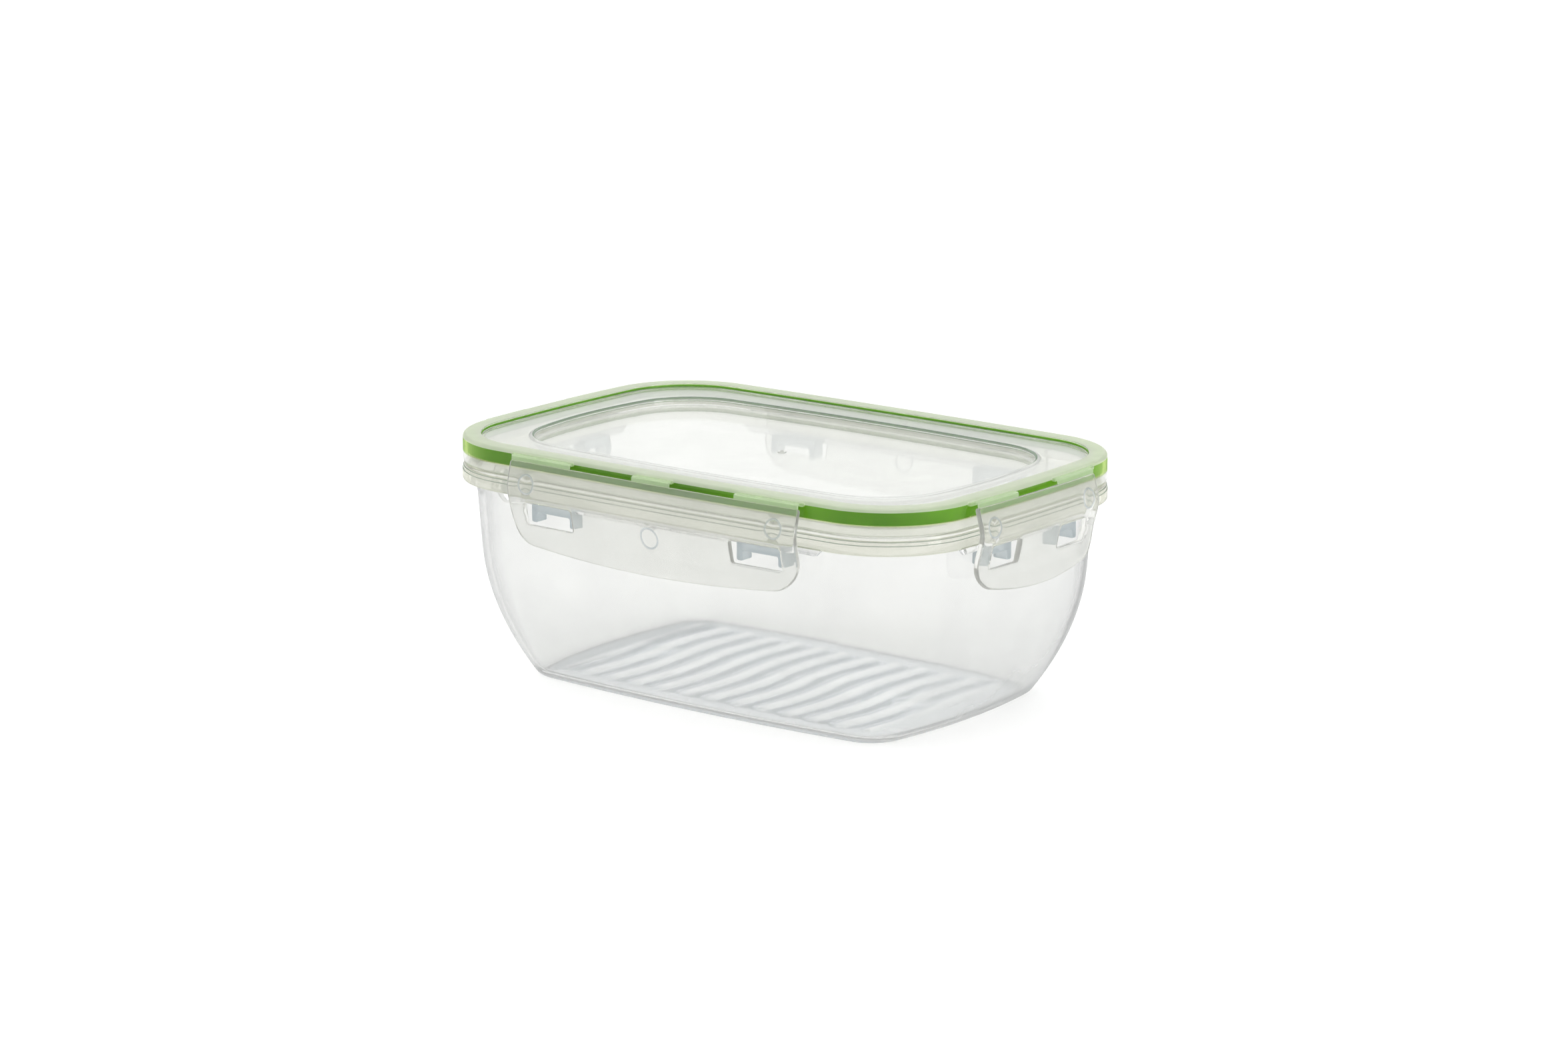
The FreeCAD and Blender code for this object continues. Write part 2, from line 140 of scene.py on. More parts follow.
class Outline:
    """Rounded rectangle with bowed sides. Its rings all have the same number of points."""

    def __init__(self, length, width, corner, long_bow, short_bow):
        self.half_length = length / 2.0 + short_bow
        self.half_width = width / 2.0 + long_bow
        self.corner = corner
        self.long_radius = bow_radius(length - 2.0 * corner, long_bow)
        self.short_radius = bow_radius(width - 2.0 * corner, short_bow)
        self.long_centre = self.half_width - self.long_radius
        self.short_centre = self.half_length - self.short_radius
        reach_long = self.long_radius - corner
        reach_short = self.short_radius - corner
        apart = math.hypot(self.short_centre, self.long_centre)
        along = (reach_long ** 2 - reach_short ** 2 + apart ** 2) / (2.0 * apart)
        aside = math.sqrt(reach_long ** 2 - along ** 2)
        dx, dy = self.short_centre / apart, -self.long_centre / apart
        choices = [(along * dx - s * aside * dy, self.long_centre + along * dy + s * aside * dx)
                   for s in (1, -1)]
        self.corner_x, self.corner_y = max(choices, key=min)

    def quarter(self, inset):
        """Points from the +X axis round to the +Y axis."""
        to_long = math.atan2(self.corner_y - self.long_centre, self.corner_x)
        to_short = math.atan2(self.corner_y, self.corner_x - self.short_centre)
        arcs = [
            (self.short_centre, 0.0, self.short_radius, 0.0, to_short, SHORT_STEPS),
            (self.corner_x, self.corner_y, self.corner, to_short, to_long, CORNER_STEPS),
            (0.0, self.long_centre, self.long_radius, to_long, math.pi / 2.0, LONG_STEPS),
        ]
        points = []
        for x, y, radius, start, end, steps in arcs:
            reach = radius - inset
            for step in range(steps):
                angle = between(start, end, step / steps)
                points.append((x + reach * math.cos(angle), y + reach * math.sin(angle)))
        points.append((0.0, self.long_centre + self.long_radius - inset))
        return points

    def ring(self, z, inset=0.0):
        quarter = self.quarter(inset)
        forward, backward = quarter[:-1], quarter[:0:-1]
        points = forward + [(-x, y) for x, y in backward]
        points += [(-x, -y) for x, y in forward] + [(x, -y) for x, y in backward]
        return [Vector((x, y, z)) for x, y in points]


LID_OUTLINE = Outline(LID_LENGTH, LID_WIDTH, LID_CORNER, LONG_BOW, SHORT_BOW)
PANEL_OUTLINE = Outline(PANEL_LENGTH, PANEL_WIDTH, PANEL_CORNER, PANEL_LONG_BOW, PANEL_SHORT_BOW)


def mixed(ring_a, ring_b, share):
    return [a.lerp(b, share) for a, b in zip(ring_a, ring_b)]


def shrunk(ring, share, z=None):
    return [Vector((p.x * share, p.y * share, p.z if z is None else z)) for p in ring]


def curved(ring_a, ring_b, ring_c, steps=5):
    """Rings on the curve that leaves a towards b and arrives at c from b."""
    rings = []
    for step in range(1, steps):
        t = step / steps
        rings.append([a.lerp(b, t).lerp(b.lerp(c, t), t) for a, b, c in zip(ring_a, ring_b, ring_c)])
    return rings


def rounded(corners, closed=True, steps=3):
    """(inset, z) points of a section whose corners, given as (inset, z, radius), are rounded."""
    points = []
    count = len(corners)
    for number, (inset, z, radius) in enumerate(corners):
        here = Vector((inset, z))
        ends = not closed and number in (0, count - 1)
        if radius == 0.0 or ends:
            points.append(here)
            continue
        before = (Vector(corners[number - 1][:2]) - here).normalized()
        after = (Vector(corners[(number + 1) % count][:2]) - here).normalized()
        half = before.angle(after) / 2.0
        reach = radius / math.tan(half)
        centre = here + (before + after).normalized() * (radius / math.sin(half))
        start, end = here + before * reach - centre, here + after * reach - centre
        turn = start.angle_signed(end)
        for step in range(steps + 1):
            angle = -turn * step / steps
            cos, sin = math.cos(angle), math.sin(angle)
            points.append(centre + Vector((start.x * cos - start.y * sin, start.x * sin + start.y * cos)))
    return points


# ======================= meshes =======================

def new_object(name, vertices, faces, sharp=40.0):
    mesh = bpy.data.meshes.new(name)
    mesh.from_pydata([tuple(Vector(v) * MM) for v in vertices], [], faces)
    mesh.update()
    clean = bmesh.new()
    clean.from_mesh(mesh)
    bmesh.ops.recalc_face_normals(clean, faces=clean.faces)
    clean.to_mesh(mesh)
    clean.free()
    for face in mesh.polygons:
        face.use_smooth = True
    mesh.set_sharp_from_angle(angle=math.radians(sharp))
    obj = bpy.data.objects.new(name, mesh)
    bpy.context.scene.collection.objects.link(obj)
    return obj


def skin(rings, closed):
    """Vertices and faces of a surface through rings. An open one gets flat end caps."""
    count = len(rings[0])
    vertices = [p for ring in rings for p in ring]
    faces = []
    pairs = list(zip(range(len(rings)), range(1, len(rings))))
    if closed:
        pairs.append((len(rings) - 1, 0))
    for a, b in pairs:
        for i in range(count):
            j = (i + 1) % count
            faces.append((a * count + i, a * count + j, b * count + j, b * count + i))
    if not closed:
        faces.append(tuple(range(count))[::-1])
        faces.append(tuple(range((len(rings) - 1) * count, len(rings) * count)))
    return vertices, faces


def joined(parts):
    vertices, faces = [], []
    for part_vertices, part_faces in parts:
        shift = len(vertices)
        vertices += part_vertices
        faces += [tuple(i + shift for i in face) for face in part_faces]
    return vertices, faces


def paint(obj, faces, material):
    """Give a run of faces, or the faces that a test picks, another material."""
    obj.data.materials.append(material)
    number = len(obj.data.materials) - 1
    for face in obj.data.polygons:
        chosen = faces(face) if callable(faces) else face.index in faces
        if chosen:
            face.material_index = number


# ======================= sides =======================

class Side:
    """One side, drawn facing -Y and turned into place."""

    def __init__(self, name, turn, half_depth, bow_r, clip_half, clip_corner, strips, slots, apron_half):
        self.name = name
        self.turn = Matrix.Rotation(math.radians(turn), 3, "Z")
        self.half_depth = half_depth
        self.bow_r = bow_r
        self.clip_half = clip_half
        self.clip_corner = clip_corner
        self.strips = strips
        self.slots = slots
        self.apron_half = apron_half

    def at(self, x, out, z):
        """Point x along the side, `out` beyond the lid's outline, at height z."""
        reach = math.sqrt((self.bow_r + out) ** 2 - x * x) - (self.bow_r - self.half_depth)
        return self.turn @ Vector((x, -reach, z))


def both(pairs):
    return [(-b, -a) for a, b in pairs] + list(pairs)


def long_side(name, turn):
    return Side(name, turn, LID_OUTLINE.half_width, LID_OUTLINE.long_radius, clip_half=59.3,
                clip_corner=11.0, strips=both([(33.8, 60.0)]) + [(-7.8, 7.8)],
                slots=both([(32.8, 52.8)]), apron_half=66.0)


def short_side(name, turn):
    return Side(name, turn, LID_OUTLINE.half_length, LID_OUTLINE.short_radius, clip_half=32.0,
                clip_corner=8.5, strips=both([(10.8, 34.0)]), slots=both([(11.0, 25.6)]), apron_half=37.0)


SIDES = (long_side("front", 0), short_side("right", 90), long_side("back", 180), short_side("left", -90))


# ======================= plates with holes =======================

def arc(x, z, radius, start, end, steps):
    return [(x + radius * math.cos(between(start, end, i / steps)),
             z + radius * math.sin(between(start, end, i / steps))) for i in range(steps + 1)]


def rounded_polygon(corners, radius, grow=0.0, steps=4):
    """Anticlockwise (x, z) polygon with rounded corners, moved outward by `grow`."""
    count = len(corners)
    moved = []
    for number in range(count):
        a, b, c = (Vector(corners[(number + k) % count]) for k in (-1, 0, 1))
        first, second = (b - a).normalized(), (c - b).normalized()
        out_1, out_2 = Vector((first.y, -first.x)), Vector((second.y, -second.x))
        corner = b + (out_1 + out_2) * (grow / (1.0 + out_1.dot(out_2)))
        left = first.x * second.y - first.y * second.x > 0.0
        moved.append((corner.x, corner.y, max(0.02, radius + (grow if left else -grow))))
    return [tuple(p) for p in rounded(moved, True, steps)]


def inside(point, loop):
    x, z = point
    hit = False
    for (x1, z1), (x2, z2) in zip(loop, loop[1:] + loop[:1]):
        if (z1 > z) != (z2 > z) and x < (x2 - x1) * (z - z1) / (z2 - z1) + x1:
            hit = not hit
    return hit


def distance_to(point, loop):
    here = Vector(point)
    return min((here - Vector(p)).length for p in loop)


def plate(place, outline, holes, thickness, edge, grid=None, circles=()):
    """A sheet with rounded edges. outline(inset) and each hole(inset) give (x, z) loops that lie
    `inset` inside the sheet's material; place(x, z, depth) puts a point into space."""
    loops = [outline(edge)] + [hole(edge) for hole in holes]
    points = [p for loop in loops for p in loop]
    edges = []
    first = 0
    for loop in loops:
        edges += [(first + i, first + (i + 1) % len(loop)) for i in range(len(loop))]
        first += len(loop)
    boundary = len(points)
    if grid:
        xs, zs = [p[0] for p in loops[0]], [p[1] for p in loops[0]]
        across = max(2, round((max(xs) - min(xs)) / grid[0]))
        upward = max(2, round((max(zs) - min(zs)) / grid[1]))
        for x, z, radius in circles:
            for ring_radius in (radius - GROOVE_HALF, radius, radius + GROOVE_HALF):
                points += arc(x, z, ring_radius, 0.0, math.tau, 32)[:-1]
        for i in range(1, across):
            for j in range(1, upward):
                p = (between(min(xs), max(xs), i / across), between(min(zs), max(zs), j / upward))
                clear = inside(p, loops[0]) and not any(inside(p, loop) for loop in loops[1:])
                off_circles = all(abs(math.hypot(p[0] - x, p[1] - z) - r) > 2.0 * GROOVE_HALF
                                  for x, z, r in circles)
                if clear and off_circles and distance_to(p, points[:boundary]) > GRID_MARGIN * grid[1]:
                    points.append(p)
    flat, _, triangles, origin, _, _ = delaunay_2d_cdt([Vector(p) for p in points], edges, [], 1, 1e-5)
    index = {source: new for new, sources in enumerate(origin) for source in sources}
    kept = []
    for triangle in triangles:
        centre = sum((flat[i] for i in triangle), Vector((0, 0))) / len(triangle)
        if not any(inside(tuple(centre), loop) for loop in loops[1:]):
            kept.append(tuple(triangle))
    count = len(flat)
    vertices = [place(p.x, p.y, 0.0) for p in flat] + [place(p.x, p.y, thickness) for p in flat]
    faces = kept + [tuple(i + count for i in triangle[::-1]) for triangle in kept]
    # rounded edge: loops from the front face over the edge to the back face
    steps = [math.radians(a) for a in (60.0, 30.0, 0.0)]
    levels = [(edge * (1.0 - math.cos(a)), edge * (1.0 - math.sin(a))) for a in steps]
    levels += [(inset, thickness - depth) for inset, depth in levels[::-1]]
    first = 0
    for number, shape in enumerate([outline] + list(holes)):
        size = len(loops[number])
        previous = [index[first + i] for i in range(size)]
        for inset, depth in levels:
            start = len(vertices)
            vertices += [place(x, z, depth) for x, z in shape(inset)]
            current = [start + i for i in range(size)]
            for i in range(size):
                j = (i + 1) % size
                faces.append((previous[i], previous[j], current[j], current[i]))
            previous = current
        last = [index[first + i] + count for i in range(size)]
        for i in range(size):
            j = (i + 1) % size
            faces.append((previous[i], previous[j], last[j], last[i]))
        first += size
    return vertices, faces


# ======================= tub =======================

def wall_inset(z):
    inset = WALL_INSET + DRAFT * (REFERENCE_HEIGHT - z)
    if z < BOWL_HEIGHT:
        inset += BOWL_INSET * (1.0 - z / BOWL_HEIGHT) ** 2
    return inset


def wall_slope(z):
    return DRAFT + (2.0 * BOWL_INSET / BOWL_HEIGHT * (1.0 - z / BOWL_HEIGHT) if z < BOWL_HEIGHT else 0.0)


def wall_ring(z, thickness=0.0):
    """Ring of the tub's wall at height z, `thickness` in from its outer face."""
    inset = wall_inset(z)
    across = LONG_SIDE_INSET + LONG_SIDE_SHARE * (inset - WALL_INSET)
    drawn_in = (inset - WALL_INSET) / (wall_inset(0.0) - WALL_INSET)
    thick = thickness * math.sqrt(1.0 + wall_slope(z) ** 2)
    corner = between(WALL_CORNER_TOP, WALL_CORNER_BASE, drawn_in) - thick * drawn_in
    shape = Outline(LID_LENGTH - 2.0 * (inset + thick), LID_WIDTH - 2.0 * (across + thick), corner,
                    between(LONG_BOW, BASE_BOW, drawn_in), between(SHORT_BOW, BASE_BOW, drawn_in))
    return shape.ring(z)


def flared_ring(z, thickness, rim_inset):
    """Ring between the wall's straight part and the rim."""
    share = (z - FLARE_HEIGHT) / (FLARE_TOP - FLARE_HEIGHT)
    eased = share * share * (3.0 - 2.0 * share)
    return mixed(wall_ring(z, thickness), LID_OUTLINE.ring(z, rim_inset), eased)


def steps_between(start, end, step):
    count = max(1, round(abs(end - start) / step))
    return [between(start, end, i / count) for i in range(count + 1)]


def floor_height(x, y):
    """Low ribs across the floor that wander a little and fade out well before its edge, and two oval
    marks between them."""
    sway = SWAY * math.sin(y / SWAY_LENGTH)
    wave = 0.5 + 0.5 * math.cos(math.tau * (x + sway) / RIB_PITCH)
    to_edge = min(RIB_FIELD_LENGTH / 2.0 - abs(x), RIB_FIELD_WIDTH / 2.0 - abs(y))
    fade = min(1.0, max(0.0, to_edge / RIB_FADE))
    height = RIB_HEIGHT * wave ** 1.3 * fade
    for mark_x in (-MARK_X, MARK_X):
        away = math.hypot((x - mark_x) / MARK_STRETCH, y)
        edge = math.exp(-((away - MARK_RADIUS) / MARK_EDGE_WIDTH) ** 2)
        ribs = min(1.0, max(0.0, (away - MARK_CLEAR) / MARK_FADE))
        height = between(MARK_HEIGHT + MARK_EDGE_HEIGHT * edge, height, ribs)
    return height


def floor_rings():
    """From the middle of the floor out to its edge."""
    edge = wall_ring(FLOOR_TOP, SHEET)
    rings = []
    shares = [0.01] + [i / (FLOOR_RINGS + 1) for i in range(1, FLOOR_RINGS)]
    for share in shares:
        ring = shrunk(edge, share)
        rings.append([Vector((p.x, p.y, FLOOR_TOP + floor_height(p.x, p.y))) for p in ring])
    return rings, edge


def tub_shell():
    """The tub's surface, and its faces on the floor, on the flange and on the flange's small steps."""
    rings, floor_edge = floor_rings()
    rings += curved(rings[-1], floor_edge, wall_ring(TURN_UP, SHEET), 7)
    rings += [wall_ring(z, SHEET) for z in steps_between(TURN_UP, FLARE_HEIGHT, WALL_STEP)]
    rings += [flared_ring(z, SHEET, RIM_INNER)
              for z in steps_between(FLARE_HEIGHT, FLARE_TOP, FLARE_STEP)[1:]]
    section = rounded([
        (RIM_INNER, FLARE_TOP + 0.1, 0.0), (RIM_INNER, TUB_TOP, 0.6), (RIM_OUTER, TUB_TOP, 0.6),
        (RIM_OUTER, FLANGE_TOP, 0.5), (0.3, FLANGE_TOP, 0.35), (0.3, 71.6, 0.15), (0.05, 71.6, 0.12),
        (0.05, 70.4, 0.12), (-0.2, 70.4, 0.12), (-0.2, FLANGE_BOTTOM, 0.5), (1.2, FLANGE_BOTTOM, 0.5),
        (FLANGE_CAVITY, FLARE_TOP, 0.3), (RIM_OUTER, FLARE_TOP, 0.0)], closed=False)
    neck = len(rings)
    rings += [LID_OUTLINE.ring(z, inset) for inset, z in section]
    flange_end = len(rings)
    rings += [flared_ring(z, 0.0, RIM_OUTER)
              for z in steps_between(FLARE_TOP - 0.3, FLARE_HEIGHT, FLARE_STEP)]
    rings += [wall_ring(z) for z in steps_between(FLARE_HEIGHT, FOOT_ROUND, WALL_STEP)[1:]]
    base = wall_ring(0.0)
    underside = shrunk(base, FOOT_EDGE_SHARE)
    rings += curved(rings[-1], base, underside)
    rings.append(underside)
    recess = shrunk(base, 1.0 - FOOT_RING / BASE_HALF_WIDTH)
    rings.append(recess)
    rings.append(shrunk(recess, RECESS_EDGE_SHARE, FOOT_HEIGHT))
    rings += [shrunk(recess, share, FOOT_HEIGHT) for share in (0.8, 0.5, 0.2, 0.01)]
    around = len(recess)
    floor = range((FLOOR_RINGS - 1) * around)
    flange = range(neck * around, flange_end * around)
    lines = set()
    for first, last in FLANGE_STEPS:
        lines |= set(range((neck + first) * around, (neck + last) * around))
    return skin(rings, closed=False), floor, flange, lines


def flat_face(side, out):
    return lambda x, z, depth: side.at(x, out - depth, z)


def apron(side):
    half = side.apron_half
    foot = half - APRON_CHAMFER
    corners = [(-half, FLANGE_BOTTOM), (-foot, APRON_BOTTOM), (foot, APRON_BOTTOM),
               (half, FLANGE_BOTTOM), (half, APRON_TOP), (-half, APRON_TOP)]
    return plate(flat_face(side, APRON_OUT), lambda inset: rounded_polygon(corners, 0.7, -inset), [],
                 APRON_WALL, 0.4, (6.0, 2.0))


def hook(side, start, end):
    """Hook open at its bottom, from the wall out to just past the lid's outline."""
    a, b = start + HOOK_MARGIN, end - HOOK_MARGIN
    under = HOOK_TOP - HOOK_BAR
    corners = [(a, HOOK_BOTTOM), (a + HOOK_LEG, HOOK_BOTTOM), (a + HOOK_LEG, under), (b - HOOK_LEG, under),
               (b - HOOK_LEG, HOOK_BOTTOM), (b, HOOK_BOTTOM), (b, HOOK_TOP), (a, HOOK_TOP)]
    reach = LONG_HOOK_REACH if side.name in ("front", "back") else SHORT_HOOK_REACH
    return plate(flat_face(side, HOOK_OUT), lambda inset: rounded_polygon(corners, 0.7, -inset), [],
                 reach, 0.35)


def build_tub():
    """The shell and aprons, then the hooks, which are of thicker and milkier plastic."""
    shell, floor, flange, flange_lines = tub_shell()
    clear = [shell] + [apron(side) for side in SIDES]
    hooks = [hook(side, start, end) for side in SIDES for start, end in side.slots]
    tub = new_object("clear_tub", *joined(clear + hooks))
    tub.data.materials.append(tub_plastic)
    clear_faces = sum(len(faces) for _, faces in clear)
    paint(tub, range(clear_faces, len(tub.data.polygons)), hook_and_groove_shade_plastic)
    # the floor's ribs get painted shade in their grooves
    paint(tub, floor, floor_groove_shade_plastic)
    paint(tub, flange, flange_plastic)
    # the flange's small steps are painted as dark lines: painted shade
    paint(tub, flange_lines, flange_step_shade_plastic)
    return tub


# ======================= lid and gasket =======================

def lid_shell():
    """The lid's surface, and its faces on the recess's wall and edge, the rim's inner step and
    top, and the skirt."""
    deck = LID_TOP - RIM_DEPTH
    panel = deck - PANEL_DEPTH
    rings = [shrunk(PANEL_OUTLINE.ring(panel, 0.0), share) for share in (0.01, 0.2, 0.4, 0.6, 0.8, 0.93)]
    rim = rounded([(0.9, panel, 0.0), (0.3, panel, 0.5), (0.0, deck, 0.6), (-1.6, deck, 0.0)], closed=False,
                  steps=ROUND_STEPS)
    recess_wall = len(rings) + 1
    recess_edge = recess_wall + ROUND_STEPS + 1
    rings += [PANEL_OUTLINE.ring(z, inset) for inset, z in rim]
    outside = rounded([
        (RIM_WIDTH + 1.2, deck, 0.0), (RIM_WIDTH, deck, 0.35), (RIM_WIDTH - 0.15, LID_TOP, 0.45),
        (0.0, LID_TOP, 1.2), (0.0, GASKET_BOTTOM, 0.0), (0.0, SKIRT_BOTTOM, 0.3),
        (SKIRT_WALL, SKIRT_BOTTOM, 0.3), (SKIRT_WALL, GASKET_BOTTOM, 0.0),
        (SKIRT_WALL, LID_TOP - RIM_PLATE, 0.3),
        (RIM_WIDTH - SHEET, LID_TOP - RIM_PLATE, 0.3), (RIM_WIDTH - SHEET, PLUG_BOTTOM, 0.5),
        (RIM_WIDTH, PLUG_BOTTOM, 0.5), (RIM_WIDTH, deck - SHEET, 0.6),
        (RIM_WIDTH + 1.6, deck - SHEET, 0.0)], closed=False, steps=ROUND_STEPS)
    rim_step = len(rings) + ROUND_STEPS
    rings += [LID_OUTLINE.ring(z, inset) for inset, z in outside]
    below = rounded([(-2.6, deck - SHEET, 0.0), (-SHEET, deck - SHEET, 0.5),
                     (0.3 - SHEET, panel - SHEET, 0.8), (1.2, panel - SHEET, 0.0)],
                    closed=False, steps=ROUND_STEPS)
    rings += [PANEL_OUTLINE.ring(z, inset) for inset, z in below]
    rings += [shrunk(PANEL_OUTLINE.ring(panel - SHEET, 1.2), share) for share in (0.9, 0.7, 0.4, 0.01)]
    around = len(rings[0])
    rim_top = rim_step + ROUND_STEPS
    skirt_outside = rim_step + 2 * ROUND_STEPS + 3
    skirt_inside = skirt_outside + 2 * ROUND_STEPS + 4
    runs = [(recess_wall, recess_edge), (recess_edge, recess_edge + ROUND_STEPS), (rim_step, rim_step + 2),
            (rim_top, skirt_outside), (skirt_outside, skirt_outside + 1), (skirt_inside, skirt_inside + 1)]
    return skin(rings, closed=False), [range(first * around, last * around) for first, last in runs]


def lathe(profile, steps=40):
    """Solid of revolution about the vertical axis through the origin, from (radius, z) points."""
    turns = [(math.cos(math.tau * i / steps), math.sin(math.tau * i / steps)) for i in range(steps)]
    rings = [[Vector((max(r, 0.01) * x, max(r, 0.01) * y, z)) for x, y in turns] for r, z in profile]
    return skin(rings, closed=False)


def gate_mark():
    """The round mark of the mould's gate in the middle of the panel."""
    panel = LID_TOP - RIM_DEPTH - PANEL_DEPTH
    profile = [(0.0, -0.2), (1.6, -0.2), (1.6, 0.15), (1.45, 0.3), (0.7, 0.3), (0.5, 0.5), (0.25, 0.58),
               (0.0, 0.6)]
    return lathe([(radius, panel + height) for radius, height in profile])


def strip_block(side, start, end, section):
    """A closed (out, z) section swept along the bowed side, with rounded ends."""
    inner = 0.25
    stations = [(start, 0.55), (start + 0.1, 0.85), (start + inner, 1.0)]
    stations += [(x, 1.0) for x in steps_between(start + inner, end - inner, 3.0)[1:-1]]
    stations += [(end - inner, 1.0), (end - 0.1, 0.85), (end, 0.55)]
    middle = Vector((sum(p[0] for p in section) / len(section), sum(p[1] for p in section) / len(section)))
    rings = []
    for x, scale in stations:
        rings.append([side.at(x, *(middle + (Vector(p) - middle) * scale)) for p in section])
    return skin(rings, closed=False)


def ledge(side, start, end):
    section = rounded([(-0.9, LEDGE_BOTTOM, 0.0), (LEDGE_OUT, LEDGE_BOTTOM, 0.3),
                       (LEDGE_OUT, LEDGE_TOP, 0.3), (-0.9, LEDGE_TOP, 0.0)])
    return strip_block(side, start, end, section)


def build_lid():
    shell, (recess_wall, recess_edge, rim_step, rim_top, skirt_outside, skirt_inside) = lid_shell()
    clear = [shell, gate_mark()]
    ledges = [ledge(side, start, end) for side in SIDES for start, end in side.strips]
    lid = new_object("clear_lid", *joined(clear + ledges))
    lid.data.materials.append(lid_plastic)
    clear_faces = sum(len(faces) for _, faces in clear)
    paint(lid, range(clear_faces, len(lid.data.polygons)), hinge_plastic)
    # the recess's wall is painted as a grey band: painted shade
    paint(lid, recess_wall, recess_wall_shade_plastic)
    # the recess's edge is painted as a dark line: painted shade
    paint(lid, recess_edge, recess_edge_shade_plastic)
    # the rim's inner step is painted as a dark green line: painted shade
    paint(lid, rim_step, rim_step_shade_plastic)
    paint(lid, rim_top, rim_plastic)
    # the clear skirt is painted with the seal's green: painted green light
    paint(lid, set(skirt_outside) | set(skirt_inside), seal_green_light_skirt_plastic)
    return lid


def build_gasket():
    outer, inner = SKIRT_WALL + GASKET_CLEARANCE, RIM_WIDTH - SHEET - GASKET_CLEARANCE
    middle = (outer + inner) / 2.0
    section = rounded([
        (outer, GASKET_TOP, 0.4), (outer, GASKET_BOTTOM, 0.6), (middle - 0.4, GASKET_BOTTOM, 0.3),
        (middle, GASKET_BOTTOM + 0.4, 0.3), (middle + 0.4, GASKET_BOTTOM, 0.3), (inner, GASKET_BOTTOM, 0.6),
        (inner, GASKET_TOP, 0.4)])
    return new_object("seal_ring", *skin([LID_OUTLINE.ring(z, inset) for inset, z in section], closed=True))


# ======================= clips and living hinges =======================

def clip_profile():
    """(z, out) points of the clip's outer face, from its lower edge up."""
    corners = [(out, z, 0.0) for out, z in CLIP_BENDS]
    for number, radius in enumerate(CLIP_BEND_RADII):
        corners[number + 1] = corners[number + 1][:2] + (radius,)
    path = rounded(corners, closed=False, steps=12)
    return sorted((p[1], p[0]) for p in path)


PROFILE = clip_profile()


def out_at(z):
    """Reach of the clip's outer face at height z."""
    for (z1, out1), (z2, out2) in zip(PROFILE, PROFILE[1:]):
        if z <= z2:
            return between(out1, out2, (z - z1) / (z2 - z1))
    return PROFILE[-1][1]


def clip_outline(side, inset):
    half = side.clip_half - inset
    corner_r = side.clip_corner
    corner_x = side.clip_half - corner_r
    bottom_r = bow_radius(2.0 * corner_x, CLIP_BOTTOM_RISE)
    centre_z = CLIP_BOTTOM + bottom_r
    corner_z = centre_z - math.sqrt((bottom_r - corner_r) ** 2 - corner_x ** 2)
    foot = math.atan2(corner_z - centre_z, corner_x)
    top_z = CLIP_TOP - inset
    top_r = 0.9 - inset * 0.5
    loop = arc(0.0, centre_z, bottom_r - inset, -math.pi - foot, foot, 40)[1:-1]
    loop += arc(corner_x, corner_z, corner_r - inset, foot, 0.0, 12)
    loop += [(half, between(corner_z, top_z, i / 10)) for i in range(1, 10)]
    loop += arc(half - top_r, top_z - top_r, top_r, 0.0, math.pi / 2.0, 4)
    loop += [(between(half, -half, i / 40), top_z) for i in range(1, 40)]
    loop += arc(top_r - half, top_z - top_r, top_r, math.pi / 2.0, math.pi, 4)
    loop += [(-half, between(top_z, corner_z, i / 10)) for i in range(1, 10)]
    loop += arc(-corner_x, corner_z, corner_r - inset, math.pi, math.pi - foot, 12)
    return loop


def slot_outline(start, end, inset):
    corners = [(start, SLOT_BOTTOM), (end, SLOT_BOTTOM), (end, SLOT_TOP), (start, SLOT_TOP)]
    return rounded_polygon(corners, SLOT_CORNER, inset)


def clip_marks(side):
    """(x, z, radius) of a clip's round marks: one near each end, and one in the middle of a long clip."""
    if side.name in ("front", "back"):
        return [(0.0, 62.1, 3.4), (-51.0, 72.8, 3.1), (51.0, 72.8, 3.1)]
    return [(-26.0, 72.8, 3.1), (26.0, 72.8, 3.1)]


def build_clip(side):
    circles = clip_marks(side)

    def from_mark(x, z):
        return min(abs(math.hypot(x - mark_x, z - mark_z) - radius) for mark_x, mark_z, radius in circles)

    def place(x, z, depth):
        slope = (out_at(z + 0.2) - out_at(z - 0.2)) / 0.4
        length = math.hypot(1.0, slope)
        groove = GROOVE_DEPTH * max(0.0, 1.0 - from_mark(x, z) / GROOVE_HALF) if depth == 0.0 else 0.0
        sunk = depth + groove
        return side.at(x, out_at(z) - sunk / length, z + sunk * slope / length)

    holes = [lambda inset, a=a, b=b: slot_outline(a, b, inset) for a, b in side.slots]
    vertices, faces = plate(place, lambda inset: clip_outline(side, inset), holes, CLIP_WALL, CLIP_EDGE,
                            CLIP_GRID, circles)
    clip = new_object(side.name + "_clear_clip", vertices, faces, sharp=60.0)
    clip.data.materials.append(clip_plastic)
    back_turn = side.turn.inverted()

    def on_shaded_mark_groove(face):
        here = back_turn @ (face.center / MM)
        outer_face = -here.y - side.half_depth > out_at(here.z) - CLIP_WALL / 2.0
        return outer_face and from_mark(here.x, here.z) < MARK_GROOVE_SHADE_HALF

    # the round marks' grooves get the darker, milkier hook plastic: painted shade
    paint(clip, on_shaded_mark_groove, hook_and_groove_shade_plastic)
    return clip


